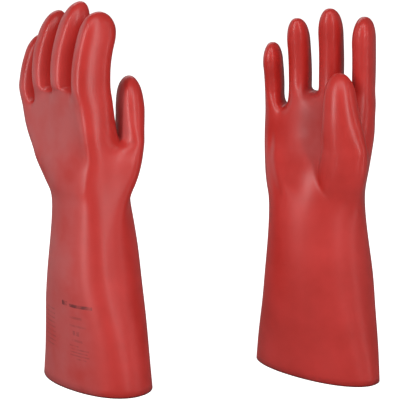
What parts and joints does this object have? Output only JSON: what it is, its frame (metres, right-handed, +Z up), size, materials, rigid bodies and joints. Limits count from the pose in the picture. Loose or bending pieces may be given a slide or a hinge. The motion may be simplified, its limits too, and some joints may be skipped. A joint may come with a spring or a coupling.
{
  "type": "insulating gloves",
  "caption": "Pair of long seamless dipped-rubber insulating gauntlets, left and right hand, standing on their open cuffs.",
  "frame": {"origin": "middle of the pair's outline on the surface that both cuffs stand on", "axes": "+Z up along the gloves to the fingertips, +X from the left glove to the right glove, -Y to the front, where the right glove shows its palm"},
  "size_m": [0.3927, 0.1574, 0.4092],
  "materials": {
    "left_rubber": "satin dipped natural rubber, slightly dusty",
    "right_rubber": "satin dipped natural rubber"
  },
  "bodies": {
    "left": {"left_glove": "left_rubber"},
    "right": {"right_glove": "right_rubber"}
  },
  "joints": [
    {"name": "right_glove_lift", "type": "slide", "parent": "left", "child": "right", "axis": [0, 0, 1], "range_m": [0, 0.45]}
  ]
}
